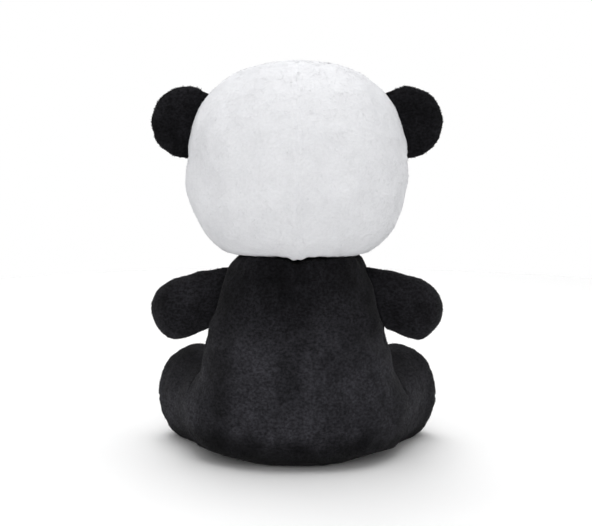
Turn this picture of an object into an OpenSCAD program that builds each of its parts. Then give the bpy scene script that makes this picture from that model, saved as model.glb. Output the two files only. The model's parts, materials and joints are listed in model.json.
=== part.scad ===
// Seated plush panda, soft toy, in millimetres.
// +Z is up, the face looks along -Y, and the toy's own left side is +X.
// The origin is the middle of the flat seat that the toy rests on.

/* [Overall] */
// Height of the seated toy, from the seat to the crown
toy_h = 250; // [246:1:256]
// Thickness of the plush fabric with its pile flattened
cover_t = 2.0; // [1.2:0.1:3]

/* [Head] */
// Widest half-width of the head
head_rx = 69.5; // [66:0.5:72]
// Half-depth of the head
head_ry = 62; // [56:1:68]
// Height of the head above its widest level
head_up = 70; // [62:1:76]
// Depth of the round of the head below its widest level, if it went on to a point
head_low = 64; // [60:1:68]
// Forward offset of the head's centre
head_fwd = 1; // [0:1:4]

/* [Ears] */
// Radius of an ear's round outline
ear_r = 23; // [19:0.2:24]
// How far the middle of that outline is out from the seam
ear_out = 4.8; // [3:0.2:6]
// Greatest thickness of an ear
ear_t = 13; // [8:1:18]

/* [Body] */
// Half-width of the body at the neck
neck_rx = 40; // [38:1:42]
// How much wider the body is at the hips than at the neck, on each side
hip_gain = 25; // [15:1:30]
// Half-depth of the body at the neck
neck_ry = 38; // [36:1:40]
// How much deeper the body is at the belly than at the neck, front and back
belly_gain = 10; // [6:1:16]
// Level of the widest part of the body
hip_z = 32; // [26:1:38]

/* [Neck] */
// Level of the neck seam above the seat
neck_seam_z = 128.5; // [126:0.5:131]
// Level that the head tips about, inside the top of the body
neck_pivot_z = 100; // [94:1:106]
// Radius of the plug of filling that joins the head to the body
neck_plug_r = 32; // [26:1:33]

/* [Arms] */
// Length of an arm from its seam to its tip
arm_len = 42.5; // [38:0.5:44]
// Height of an arm across the paw
arm_w = 39.5; // [36:0.5:41]
// Greatest thickness of an arm
arm_t = 29; // [22:1:32]
// How far an arm points forward of straight sideways, in degrees
arm_yaw = 12; // [5:1:18]

/* [Legs] */
// Radius of the round end of the thigh
thigh_r = 26; // [22:0.5:27]
// Distance from the hip to the sole of the foot
leg_len = 62; // [56:1:68]
// How far a leg points outward from straight ahead, in degrees
leg_splay = 36; // [25:1:40]

/* [Hidden] */

white = [0.92, 0.92, 0.93];
black = [0.12, 0.12, 0.13];
filling = [0.97, 0.96, 0.94];

gap = 0.15;            // between neighbouring layers that are sewn or packed together
joint_gap = 0.8;       // between soft surfaces that slide on each other at the neck and the hips
seg = 24;              // points round the head and the body
LEFT = 1;
RIGHT = -1;

head_z = toy_h - head_up;                // widest level of the head
head_y = -head_fwd;
neck_rise = neck_seam_z - neck_pivot_z;
dome_r = norm([neck_rx, neck_rise]) - joint_gap;   // round that the head slides on, about the pivot
seat_rx = neck_rx - 6;                   // half-width and half-depth of the flat seat
seat_ry = neck_ry + belly_gain - 25;
head_n = 2.4;                            // squareness of the upper head's outline
body_n = 2.15;                           // squareness of the body's level sections

// ---------- polyhedra from rings and grids ----------

// Index of point j of ring i, where the first or last ring may be a single point.
function start_of(rings, i) = i == 0 ? 0 : start_of(rings, i - 1) + len(rings[i - 1]);
function at(rings, i, j) = len(rings[i]) == 1 ? 0 : j % len(rings[i]);
function distinct(f) = f[0] != f[1] && f[1] != f[2] && f[0] != f[2];
function flat(lists) = [for (l = lists) each l];
function reversed(list) = [for (i = [len(list) - 1 : -1 : 0]) list[i]];

// A solid whose surface is a stack of closed rings, from the lowest to the highest.
module ring_solid(rings) {
    n = len(rings);
    m = max([for (r = rings) len(r)]);
    starts = [for (i = [0 : n - 1]) start_of(rings, i)];
    sides = [for (i = [0 : n - 2], j = [0 : m - 1])
        let (a = starts[i] + at(rings, i, j), b = starts[i] + at(rings, i, j + 1),
             d = starts[i + 1] + at(rings, i + 1, j), c = starts[i + 1] + at(rings, i + 1, j + 1))
        each [[a, d, c], [a, c, b]]];
    low_cap = len(rings[0]) == 1 ? [] : [[for (j = [0 : m - 1]) j]];
    high_cap = len(rings[n - 1]) == 1 ? [] : [[for (j = [m - 1 : -1 : 0]) starts[n - 1] + j]];
    polyhedron(flat(rings), concat([for (f = sides) if (distinct(f)) f], low_cap, high_cap), convexity = 6);
}

// A sheet with a thickness: rows of outer points and the inner points behind them.
module sheet_solid(outer, inner) {
    n = len(outer);
    m = len(outer[0]);
    total = start_of(outer, n - 1) + len(outer[n - 1]);
    function o(i, j) = start_of(outer, i) + (len(outer[i]) == 1 ? 0 : j);
    function u(i, j) = total + o(i, j);
    faces = concat(
        [for (i = [0 : n - 2], j = [0 : m - 2]) each
            [[o(i, j), o(i + 1, j), o(i + 1, j + 1)], [o(i, j), o(i + 1, j + 1), o(i, j + 1)],
             [u(i, j), u(i + 1, j + 1), u(i + 1, j)], [u(i, j), u(i, j + 1), u(i + 1, j + 1)]]],
        [for (i = [0 : n - 2]) each
            [[o(i, 0), u(i, 0), u(i + 1, 0)], [o(i, 0), u(i + 1, 0), o(i + 1, 0)],
             [o(i, m - 1), u(i + 1, m - 1), u(i, m - 1)], [o(i, m - 1), o(i + 1, m - 1), u(i + 1, m - 1)]]],
        [for (j = [0 : m - 2]) each
            [[o(0, j), u(0, j + 1), u(0, j)], [o(0, j), o(0, j + 1), u(0, j + 1)],
             [o(n - 1, j), u(n - 1, j), u(n - 1, j + 1)], [o(n - 1, j), u(n - 1, j + 1), o(n - 1, j + 1)]]]);
    polyhedron(concat(flat(outer), flat(inner)), [for (f = faces) if (distinct(f)) f], convexity = 6);
}

module on_side(side) {
    mirror([side < 0 ? 1 : 0, 0, 0]) children();
}

// ---------- head ----------

function root(v, n) = pow(max(v, 0), 1 / n);

// Share of the full level section that is left at a level h above the head's widest one.
function head_share(h, off) = h >= 0
    ? root(1 - pow(min(h / (head_up - off), 1), head_n), head_n)
    : root(1 - pow(min(-h / (head_low - off), 1), 2), 2);

function head_ring(h, off, from, to, steps) =
    let (k = head_share(h, off))
    [for (i = [0 : steps]) let (a = from + (to - from) * i / steps)
        [(head_rx - off) * k * cos(a), head_y + (head_ry - off) * k * sin(a), head_z + h]];

// Levels of the head from the neck seam to just under the crown, closer together near the crown.
function head_levels(off, steps) =
    let (low = neck_seam_z - head_z, high = head_up - off)
    [for (i = [0 : steps - 1]) low + (high - low) * sin(90 * i / steps)];

function head_crown(off) = [0, head_y, head_z + head_up - off];

// Where the front of the head is, at a place x, z across the face.
function face_y(x, z) =
    let (k = head_share(z - head_z, 0))
    head_y - head_ry * root(k * k - pow(x / head_rx, 2), 2);

module head_cover(from, to, steps) {
    levels = head_levels(0, 12);
    inner_levels = head_levels(cover_t, 12);
    sheet_solid(
        concat([for (h = levels) head_ring(h, 0, from, to, steps)], [[head_crown(0)]]),
        concat([for (h = inner_levels) head_ring(h, cover_t, from, to, steps)], [[head_crown(cover_t)]]));
}

module head_back(side) color(white) difference() {
    on_side(side) head_cover(0, 90, seg / 4);
    neck_hollow();
}

// The hollow under the head, which slides on the domed top of the body.
module neck_hollow() {
    translate([0, 0, neck_pivot_z]) sphere(r = dome_r + 2 * joint_gap, $fn = 72);
}

eye_x = 26;
eye_z = head_z - 5;
eye_r = 6.5;
shank_r = 1.75;
eye_yaw = 20;        // the face turns away from straight ahead by this much at the eye
washer_r = 6;
washer_t = 1.2;
patch_t = 1.8;

// Places its children at the eye, with +Z out of the face.
module at_eye(side) {
    on_side(side) translate([eye_x, face_y(eye_x, eye_z), eye_z]) rotate([90, 0, eye_yaw]) children();
}

module eye_hole(side) {
    at_eye(side) translate([0, 0, -12]) cylinder(r = shank_r + gap, h = 20, $fn = 32);
}

module face_panel() color(white) difference() {
    head_cover(180, 360, seg / 2);
    neck_hollow();
    for (side = [LEFT, RIGHT]) eye_hole(side);
}

module head_filling() color(filling) {
    off = cover_t + gap;
    difference() {
        ring_solid(concat(
            [for (h = head_levels(off, 12)) head_ring(h, off, 0, 360 - 360 / seg, seg - 1)],
            [[head_crown(off)]]));
        neck_hollow();
        for (side = [LEFT, RIGHT]) at_eye(side)
            translate([0, 0, -14]) cylinder(r = washer_r + 1, h = 16, $fn = 32);
    }
}

module eye(side) color([0.03, 0.03, 0.03]) at_eye(side) {
    base = patch_t + gap + 0.7;
    intersection() {
        translate([0, 0, base - 2.5]) sphere(r = 7, $fn = 48);
        translate([0, 0, base]) cylinder(r = eye_r, h = 8, $fn = 48);
    }
    translate([0, 0, -8]) cylinder(r = shank_r, h = base + 9, $fn = 32);
}

module eye_washer(side) color([0.9, 0.9, 0.88]) at_eye(side) translate([0, 0, -cover_t - washer_t - 2])
    difference() {
        cylinder(r = washer_r, h = washer_t, $fn = 48);
        translate([0, 0, -1]) cylinder(r = shank_r + gap, h = washer_t + 2, $fn = 32);
    }

// ---------- pieces sewn on the face ----------

// Oval of points round a place on the face, tilted, at a share s of its full size.
function oval(cx, cz, rx, rz, tilt, s, steps) =
    [for (i = [0 : steps - 1]) let (a = 360 * i / steps, p = s * rx * cos(a), q = s * rz * sin(a))
        [cx + p * cos(tilt) - q * sin(tilt), cz + p * sin(tilt) + q * cos(tilt)]];

patch_shares = [0, 0.35, 0.7, 1];
patch_x = eye_x + 1;
patch_z = eye_z - 1;
patch_rx = 13;
patch_rz = 17;
patch_tilt = 30;     // the patch's lower end leans out to the side by this much

function patch_spots(s) = s == 0 ? [[patch_x, patch_z]]
    : oval(patch_x, patch_z, patch_rx, patch_rz, patch_tilt, s, 24);

// The spots of a ring laid this far out in front of the face.
function on_face(spots, out) = [for (p = spots) [p[0], face_y(p[0], p[1]) - out, p[1]]];

module eye_patch(side) color(black) on_side(side) difference() {
    ring_solid(concat(
        [for (s = patch_shares) on_face(patch_spots(s), gap)],
        [for (s = reversed(patch_shares)) on_face(patch_spots(s * 0.97), gap + patch_t)]));
    eye_hole(LEFT);
}

muzzle_z = head_z - 28;
muzzle_rx = 24;
muzzle_rz = 16;
muzzle_h = 12;

// How far the muzzle stands out of the face at x, z, for a muzzle smaller by off all round.
function muzzle_out(x, z, off) =
    let (s = pow(x / (muzzle_rx - off), 2) + pow((z - muzzle_z) / (muzzle_rz - off), 2))
    (muzzle_h - off) * root(1 - s, 1.7);

function muzzle_spots(s, off) = s == 0 ? [[0, muzzle_z]]
    : oval(0, muzzle_z, muzzle_rx - off, muzzle_rz - off, 0, s, 24);

module muzzle_panel() color(white) {
    shares = [0, 0.3, 0.55, 0.75, 0.9, 1];
    ring_solid(concat(
        [for (s = shares) [for (p = muzzle_spots(s, cover_t))
            [p[0], face_y(p[0], p[1]) - gap - muzzle_out(p[0], p[1], cover_t), p[1]]]],
        [for (i = [5 : -1 : 0]) [for (p = muzzle_spots(shares[i], 0))
            [p[0], face_y(p[0], p[1]) - gap - muzzle_out(p[0], p[1], 0), p[1]]]]));
}

module muzzle_filling() color(filling) {
    off = cover_t + gap;
    ring_solid(concat(
        [for (s = [0, 0.4, 0.7, 0.95]) on_face(muzzle_spots(s, off), gap)],
        [for (s = [0.9, 0.75, 0.55, 0.3, 0]) [for (p = muzzle_spots(s, off))
            [p[0], face_y(p[0], p[1]) - gap - muzzle_out(p[0], p[1], off), p[1]]]]));
}

// Front of the muzzle at x, z.
function snout_y(x, z) = face_y(x, z) - gap - muzzle_out(x, z, 0);

nose_z = muzzle_z + 7;
nose_rx = 8.5;
nose_rz = 5.5;
nose_shares = [0, 0.5, 0.85, 1];

function nose_spots(s) = s == 0 ? [[0, nose_z]] : oval(0, nose_z, nose_rx, nose_rz, 0, s, 20);

// The spots of a ring laid this far out in front of the muzzle.
function on_snout(spots, out) = [for (p = spots) [p[0], snout_y(p[0], p[1]) - out, p[1]]];

module nose_embroidery() color(black)
    ring_solid(concat(
        [for (s = nose_shares) on_snout(nose_spots(s), gap)],
        [for (s = reversed(nose_shares))
            on_snout(nose_spots(s * 0.97), gap + 0.6 + 1.6 * root(1 - s * s, 2))]));

// Rings of a thread laid on the muzzle along places x, z.
function thread_rings(path, r, side_count) =
    [for (k = [0 : len(path) - 1])
        let (d = path[min(k + 1, len(path) - 1)] - path[max(k - 1, 0)], t = d / norm(d), p = path[k])
        [for (i = [0 : side_count - 1])
            let (a = 360 * i / side_count, y = snout_y(p[0], p[1]) - gap - 0.5 - r)
            [p[0] - t[1] * r * cos(a), y - r * sin(a), p[1] + t[0] * r * cos(a)]]];

module mouth_embroidery() color(black) {
    r = 0.7;
    low = nose_z - 6.5;
    drop = 6;                                      // length of the line under the nose
    smile = 12;                                    // half the width of the smile
    ring_solid(thread_rings([for (i = [0 : 4]) [0, low - (drop + 0.3) * i / 4]], r, 8));
    ring_solid(thread_rings([for (i = [-9 : 9]) [smile * i / 9, low - drop - 4 * abs(sin(20 * i))]], r, 8));
}

// ---------- flat-sewn pads: ears and arms ----------
// A pad's shape is a list of stations [distance from the seam, half-height, half-thickness].
// It is drawn with its run along +X, its thickness along Y and its height along Z.

function swell(v) = 0.5 - 0.5 * cos(180 * min(v, 1));
function end_round(u, from, to) = u <= from ? 1 : root(1 - pow((u - from) / (to - from), 2), 2);

// The same pad made smaller, so that a layer of thickness off fits between the two.
function shrunk(shape, off) =
    let (u0 = shape[0][0], u1 = shape[len(shape) - 1][0], h = max([for (k = shape) k[1]]),
         t = max([for (k = shape) k[2]]))
    [for (k = shape)
        [u0 + (k[0] - u0) * (u1 - off - u0) / (u1 - u0), k[1] * (1 - off / h), k[2] * (1 - off / t)]];

// Rings round a pad. At the seam's end slant leans them and hollow bends them in; both fade towards the tip.
function pad_rings(shape, slant, hollow, from, to, steps) =
    let (tip = shape[len(shape) - 1][0])
    [for (k = shape) k[1] == 0 ? [[k[0], 0, 0]]
        : [for (i = [0 : steps]) let (a = from + (to - from) * i / steps, z = k[1] * sin(a))
            [k[0] + (hollow * pow(cos(a), 2) - slant * z) * (1 - k[0] / tip), k[2] * cos(a), z]]];

module pad_panel(shape, slant, hollow, from) {
    sheet_solid(pad_rings(shape, slant, hollow, from, from + 180, 12),
        pad_rings(shrunk(shape, cover_t), slant, hollow, from, from + 180, 12));
}

module pad_filling(shape, slant, hollow) {
    ring_solid(pad_rings(shrunk(shape, cover_t + gap), slant, hollow, 0, 345, 23));
}

// ---------- ears ----------

ear_x = head_rx - 6.5;            // middle of the line that the ear folds along
ear_z = head_z + 30;
ear_lean = 19;                    // the line leans this many degrees in towards the crown
ear_start = 1.2;                  // from the fold to the filled part, at the ends of the seam
ear_hollow = 6.8;                 // the head bulges into the seam by this much at its middle
ear_end = ear_out + ear_r;

ear_shape = [for (u = [ear_start, 3.5, 7, 10.5, 14, 18, ear_end - 2.5, ear_end - 0.8, ear_end])
    [u, root(1 - pow((u - ear_out) / ear_r, 2), 2) * ear_r,
     (1.8 + (ear_t / 2 - 1.8) * swell(u / 10)) * end_round(u, ear_end * 0.45, ear_end)]];

module at_ear(side) {
    on_side(side) translate([ear_x, head_y, ear_z])
        rotate([0, -ear_lean, 0]) children();
}

module ear_back(side) color(black) at_ear(side) pad_panel(ear_shape, 0, ear_hollow, -90);
module ear_front(side) color(black) at_ear(side) pad_panel(ear_shape, 0, ear_hollow, 90);
module ear_filling(side) color(filling) at_ear(side) pad_filling(ear_shape, 0, ear_hollow);

// ---------- arms ----------

arm_z = 100.5;                    // middle of the shoulder seam
arm_droop = 15.5;                   // the paw hangs this many degrees below level
arm_start = 2.2;                  // from the seam to the filled part
arm_root = 18.6;                  // half the height of the shoulder seam
arm_slant = 0.7;                  // the seam runs down the side of the body, out of square with the arm

arm_stops = [arm_start, 5, 9, 13, 17, arm_len - 16, arm_len - 11, arm_len - 6, arm_len - 2, arm_len];

arm_shape = [for (u = arm_stops)
    let (e = end_round(u, arm_len - 19, arm_len), tall = arm_root + (arm_w / 2 - arm_root) * swell(u / 18))
    [u, tall * e, (2.6 + (arm_t / 2 - 2.6) * swell(u / 20)) * e]];

module at_arm(side) {
    on_side(side) translate([body_half(arm_z)[0] + 1, 0, arm_z]) rotate([0, 0, -arm_yaw])
        rotate([0, arm_droop, 0]) children();
}

module arm_back(side) color(black) at_arm(side) pad_panel(arm_shape, arm_slant, 0, -90);
module arm_front(side) color(black) at_arm(side) pad_panel(arm_shape, arm_slant, 0, 90);
module arm_filling(side) color(filling) at_arm(side) pad_filling(arm_shape, arm_slant, 0);

// ---------- body ----------

// Half-width and half-depth of the body at a level z.
function body_half(z) = z >= hip_z
    ? let (k = cos(90 * (z - hip_z) / (neck_seam_z - hip_z)))
        [neck_rx + hip_gain * k, neck_ry + belly_gain * k]
    : let (k = root(1 - pow((hip_z - z) / hip_z, 2), 2), deep = neck_ry + belly_gain)
        [seat_rx + (neck_rx + hip_gain - seat_rx) * k, seat_ry + (deep - seat_ry) * k];

function body_ring(z, off, from, to, steps, level = undef) =
    let (w = body_half(z))
    [for (i = [0 : steps]) let (a = from + (to - from) * i / steps, c = cos(a), s = sin(a))
        [(w[0] - off) * sign(c) * pow(abs(c), 2 / body_n), (w[1] - off) * sign(s) * pow(abs(s), 2 / body_n),
         is_undef(level) ? z : level]];

chest_z = 92;                      // the black chest is sewn to the white belly at this level
side_seam = -15;                   // the side seams lie this many degrees forward of the widest line
belly_rows = [for (share = [0, 0.04, 0.1, 0.185, 0.27, 0.36, 0.48, 0.61, 0.74, 0.87, 1]) share * chest_z];
chest_rows = [for (share = [0, 0.25, 0.5, 0.75, 1]) chest_z + share * (neck_seam_z - chest_z)];
back_rows = concat(belly_rows, [for (i = [1 : 4]) chest_rows[i]]);
bag_top = belly_rows[3] - gap;

hip_x = 39;
hip_y = -10;
leg_z = 27.5;                      // level of the leg's middle at the hip
foot_w = 27.5;                     // half-width and half-height of the foot, and the level of its middle
foot_h = 31;
foot_z = 31;
leg_sag = 1.2;                     // the underside is this many times as deep, until the floor flattens it
swing_in = 15;                     // how far a leg swings towards the other one, in degrees
swing_out = 12;                    // and away from it

// Outline, seen from above, of the room that a thigh needs in the body over its swing. The hip is at 0, 0.
function hip_outline(r, reach) =
    let (inner = leg_splay - swing_in, outer = leg_splay + swing_out, steps = 10)
    concat(
        [for (i = [0 : steps]) let (a = outer + (180 + inner - outer) * i / steps) [r * cos(a), r * sin(a)]],
        [[-r * cos(inner) + reach * sin(inner), -r * sin(inner) - reach * cos(inner)],
         [r * cos(outer) + reach * sin(outer), r * sin(outer) - reach * cos(outer)]]);

module hip_space(side) on_side(side) translate([hip_x, hip_y, -1])
    linear_extrude(foot_z + foot_h + 2.5) polygon(hip_outline(thigh_r * 1.012 + joint_gap, 62));

module body_cover(rows, from, to) {
    steps = (to - from) * seg / 360;
    difference() {
        sheet_solid(
            [for (z = rows) body_ring(z, 0, from, to, steps)],
            [for (z = rows) body_ring(z, cover_t, from, to, steps)]);
        for (side = [LEFT, RIGHT]) hip_space(side);
    }
}

module body_back(side) color(black) on_side(side) body_cover(back_rows, side_seam, 90);
module chest_panel() color(black) body_cover(chest_rows, 180 - side_seam, 360 + side_seam);
module belly_panel() color(white) body_cover(belly_rows, 180 - side_seam, 360 + side_seam);

module seat_panel() color(black) difference() {
    linear_extrude(cover_t) polygon([for (p = body_ring(0, cover_t + gap, 0, 355, 71)) [p[0], p[1]]]);
    for (side = [LEFT, RIGHT]) hip_space(side);
}

module pellet_bag() color([0.85, 0.83, 0.78]) difference() {
    off = cover_t + gap + 1.8;
    ring_solid([
        body_ring(4, off + 6, 0, 360 - 360 / seg, seg - 1, cover_t + gap),
        body_ring(6, off, 0, 360 - 360 / seg, seg - 1, 6),
        body_ring(6, off, 0, 360 - 360 / seg, seg - 1, bag_top - 4),
        body_ring(4, off + 4, 0, 360 - 360 / seg, seg - 1, bag_top)]);
    for (side = [LEFT, RIGHT]) hip_space(side);
}

module body_filling() color(filling) difference() {
    ring_solid([for (i = [3 : len(back_rows) - 1])
        body_ring(back_rows[i], cover_t + gap, 0, 360 - 360 / seg, seg - 1)]);
    for (side = [LEFT, RIGHT]) hip_space(side);
    translate([0, 0, plug_low]) cylinder(r = neck_plug_r + joint_gap, h = 60, $fn = 64);
}

plug_low = neck_seam_z - 18;

// Turns in the top of the body's filling, and carries the head on its domed end.
module neck_filling() color(filling) intersection() {
    translate([0, 0, neck_pivot_z]) sphere(r = dome_r, $fn = 96);
    translate([0, 0, plug_low + gap]) cylinder(r = neck_plug_r, h = 60, $fn = 96);
}

// ---------- legs ----------

// One station along the leg: distance from the hip, half-width, half-height and level of its middle.
function leg_station(s) =
    let (f = max(s, 0) / leg_len, foot = 1 - pow(1 - f, 2))
    s <= 0 ? [s, root(thigh_r * thigh_r - s * s, 2), root(thigh_r * thigh_r - s * s, 2), leg_z]
    : let (k = s > leg_len - 12 ? root(1 - pow((s - leg_len + 12) / 16, 2), 2) : 1)
        [s, (thigh_r + (foot_w - thigh_r) * foot) * k, (thigh_r + (foot_h - thigh_r) * foot) * k,
         leg_z + (foot_z - leg_z) * foot];

// Point of a station's outline at an angle a; its height is from the station's middle.
function leg_edge(k, off, a) =
    let (deep = (k[2] - off) * (a % 360 > 180 ? leg_sag : 1))
    [(k[1] - off) * cos(a), max(deep * sin(a), off - k[3])];

function leg_ring(s, off, from, to, steps) =
    let (k = leg_station(s))
    [for (i = [0 : steps]) let (a = from + (to - from) * i / steps) [each leg_edge(k, off, a), s, k[3]]];

// Places a leg's ring in the toy: the leg runs outward along the splay.
function placed(ring) = [for (p = ring) [p[0], p[1] + p[3], p[2]]];

// Children have the leg's run along +Z, its height along +Y and its outer side along +X.
module at_leg(side) {
    on_side(side) translate([hip_x, hip_y, 0]) rotate([0, 0, leg_splay]) rotate([90, 0, 0]) children();
}

leg_stops = [-14, -7, 0, 12, 26, 40, leg_len - 12, leg_len - 6, leg_len - 2, leg_len];

module leg_cover(from, to) {
    sheet_solid([for (s = leg_stops) placed(leg_ring(s, 0, from, to, 12))],
        [for (s = leg_stops) placed(leg_ring(s, cover_t, from, to, 12))]);
}

module leg_top(side) color(black) at_leg(side) leg_cover(0, 180);
module leg_bottom(side) color(black) at_leg(side) leg_cover(180, 360);

module foot_sole(side) color(black) at_leg(side) {
    k = leg_station(leg_len);
    translate([0, k[3], leg_len + gap]) linear_extrude(cover_t)
        polygon([for (i = [0 : 71]) leg_edge(k, -0.5, 5 * i)]);
}

module leg_filling(side) color(filling) at_leg(side) {
    off = cover_t + gap;
    ends = [-thigh_r + off + 0.5, -20];
    ball = [for (s = ends) let (r = root(pow(thigh_r - off, 2) - s * s, 2))
        [for (i = [0 : 23]) [r * cos(15 * i), r * sin(15 * i) + leg_z, s]]];
    ring_solid(concat(ball, [for (s = leg_stops) placed(leg_ring(s, off, 0, 345, 23))]));
}

body_back(LEFT);  // body_back_left
body_back(RIGHT);  // body_back_right
chest_panel();
belly_panel();
seat_panel();
body_filling();
pellet_bag();
neck_filling();
head_back(LEFT);  // head_back_left
head_back(RIGHT);  // head_back_right
face_panel();
head_filling();
muzzle_panel();
muzzle_filling();
nose_embroidery();
mouth_embroidery();
eye_patch(LEFT);  // eye_patch_left
eye_patch(RIGHT);  // eye_patch_right
eye(LEFT);  // eye_left
eye(RIGHT);  // eye_right
eye_washer(LEFT);  // eye_washer_left
eye_washer(RIGHT);  // eye_washer_right
ear_back(LEFT);  // ear_back_left
ear_back(RIGHT);  // ear_back_right
ear_front(LEFT);  // ear_front_left
ear_front(RIGHT);  // ear_front_right
ear_filling(LEFT);  // ear_filling_left
ear_filling(RIGHT);  // ear_filling_right
arm_back(LEFT);  // arm_back_left
arm_back(RIGHT);  // arm_back_right
arm_front(LEFT);  // arm_front_left
arm_front(RIGHT);  // arm_front_right
arm_filling(LEFT);  // arm_filling_left
arm_filling(RIGHT);  // arm_filling_right
leg_top(LEFT);  // leg_top_left
leg_top(RIGHT);  // leg_top_right
leg_bottom(LEFT);  // leg_bottom_left
leg_bottom(RIGHT);  // leg_bottom_right
foot_sole(LEFT);  // foot_sole_left
foot_sole(RIGHT);  // foot_sole_right
leg_filling(LEFT);  // leg_filling_left
leg_filling(RIGHT);  // leg_filling_right
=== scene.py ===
import json
import math

import bpy
import numpy as np
from mathutils import Vector, bvhtree
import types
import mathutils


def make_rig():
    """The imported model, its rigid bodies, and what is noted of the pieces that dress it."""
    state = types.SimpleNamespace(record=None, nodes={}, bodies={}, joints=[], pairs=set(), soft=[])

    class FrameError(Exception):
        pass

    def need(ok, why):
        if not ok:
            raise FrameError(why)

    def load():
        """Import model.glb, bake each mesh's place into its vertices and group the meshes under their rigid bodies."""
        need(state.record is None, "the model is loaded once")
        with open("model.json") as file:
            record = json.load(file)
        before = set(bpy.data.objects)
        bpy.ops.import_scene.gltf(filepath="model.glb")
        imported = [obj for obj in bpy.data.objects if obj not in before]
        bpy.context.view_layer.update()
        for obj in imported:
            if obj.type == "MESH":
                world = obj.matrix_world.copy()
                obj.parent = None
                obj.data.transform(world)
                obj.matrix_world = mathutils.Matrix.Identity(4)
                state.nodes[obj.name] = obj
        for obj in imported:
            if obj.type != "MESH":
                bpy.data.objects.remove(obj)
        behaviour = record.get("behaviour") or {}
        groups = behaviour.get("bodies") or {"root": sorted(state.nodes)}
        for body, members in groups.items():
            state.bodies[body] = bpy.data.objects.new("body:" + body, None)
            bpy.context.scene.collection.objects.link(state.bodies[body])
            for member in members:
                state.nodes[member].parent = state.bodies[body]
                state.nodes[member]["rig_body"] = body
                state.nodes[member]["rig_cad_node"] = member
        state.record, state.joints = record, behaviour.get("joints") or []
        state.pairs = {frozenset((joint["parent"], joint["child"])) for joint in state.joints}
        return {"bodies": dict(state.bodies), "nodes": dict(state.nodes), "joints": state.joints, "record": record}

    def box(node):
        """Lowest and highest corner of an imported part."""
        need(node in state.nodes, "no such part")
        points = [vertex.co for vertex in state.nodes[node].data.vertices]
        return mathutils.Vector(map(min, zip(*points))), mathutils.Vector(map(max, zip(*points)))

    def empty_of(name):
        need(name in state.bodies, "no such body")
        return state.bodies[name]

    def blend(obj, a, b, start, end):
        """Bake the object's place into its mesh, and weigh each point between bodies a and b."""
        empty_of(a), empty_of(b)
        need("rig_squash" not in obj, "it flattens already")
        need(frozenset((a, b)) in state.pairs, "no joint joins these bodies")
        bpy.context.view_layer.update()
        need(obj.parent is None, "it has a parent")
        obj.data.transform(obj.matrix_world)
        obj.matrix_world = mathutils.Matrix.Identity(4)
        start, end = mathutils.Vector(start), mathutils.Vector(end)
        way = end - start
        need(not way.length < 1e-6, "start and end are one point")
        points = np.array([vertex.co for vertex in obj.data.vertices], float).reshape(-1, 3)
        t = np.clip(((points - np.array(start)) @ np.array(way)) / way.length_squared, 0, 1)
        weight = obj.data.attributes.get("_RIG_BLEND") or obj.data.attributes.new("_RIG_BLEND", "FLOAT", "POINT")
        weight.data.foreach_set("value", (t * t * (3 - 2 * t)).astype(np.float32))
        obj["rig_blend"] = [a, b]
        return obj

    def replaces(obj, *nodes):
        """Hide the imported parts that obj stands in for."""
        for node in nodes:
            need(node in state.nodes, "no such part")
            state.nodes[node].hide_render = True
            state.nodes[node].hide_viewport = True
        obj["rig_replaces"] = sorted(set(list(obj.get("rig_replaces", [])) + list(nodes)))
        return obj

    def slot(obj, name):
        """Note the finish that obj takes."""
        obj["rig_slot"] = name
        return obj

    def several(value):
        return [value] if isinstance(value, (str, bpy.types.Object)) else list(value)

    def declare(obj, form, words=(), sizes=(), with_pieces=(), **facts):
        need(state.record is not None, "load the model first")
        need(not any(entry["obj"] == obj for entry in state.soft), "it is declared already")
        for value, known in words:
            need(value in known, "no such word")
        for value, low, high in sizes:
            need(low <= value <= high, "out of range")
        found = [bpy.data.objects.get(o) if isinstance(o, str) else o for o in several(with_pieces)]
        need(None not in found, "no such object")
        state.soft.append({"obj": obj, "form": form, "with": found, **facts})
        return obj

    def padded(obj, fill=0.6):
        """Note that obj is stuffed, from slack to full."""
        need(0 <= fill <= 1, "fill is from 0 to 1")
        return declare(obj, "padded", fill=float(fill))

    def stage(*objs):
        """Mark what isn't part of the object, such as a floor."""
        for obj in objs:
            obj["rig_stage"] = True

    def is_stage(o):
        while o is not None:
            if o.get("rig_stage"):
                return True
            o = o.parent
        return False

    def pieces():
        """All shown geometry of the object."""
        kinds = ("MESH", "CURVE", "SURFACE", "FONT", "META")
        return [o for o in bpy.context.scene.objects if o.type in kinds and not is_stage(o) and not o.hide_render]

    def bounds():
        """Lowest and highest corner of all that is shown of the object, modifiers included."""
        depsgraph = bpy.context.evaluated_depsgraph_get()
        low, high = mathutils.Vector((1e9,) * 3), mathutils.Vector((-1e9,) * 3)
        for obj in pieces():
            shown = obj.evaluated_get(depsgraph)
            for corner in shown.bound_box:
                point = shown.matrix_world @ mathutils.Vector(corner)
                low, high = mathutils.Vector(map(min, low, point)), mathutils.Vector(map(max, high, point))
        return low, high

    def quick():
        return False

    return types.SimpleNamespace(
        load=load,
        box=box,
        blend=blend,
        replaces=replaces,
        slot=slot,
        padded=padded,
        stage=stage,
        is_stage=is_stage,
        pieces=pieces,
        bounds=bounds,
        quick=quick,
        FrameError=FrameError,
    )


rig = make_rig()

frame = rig.load()
cad_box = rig.bounds()
JOINTS = {j["name"]: j for j in frame["joints"]}
MM = 0.001
LEFT, RIGHT = 1, -1
SIDE = {LEFT: "left", RIGHT: "right"}


def mm_box(node):
    low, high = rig.box(node)
    return np.array(low) / MM, np.array(high) / MM


# ---------- sizes in millimetres: from the frame where it gives them, else as in the part's source ----------

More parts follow.
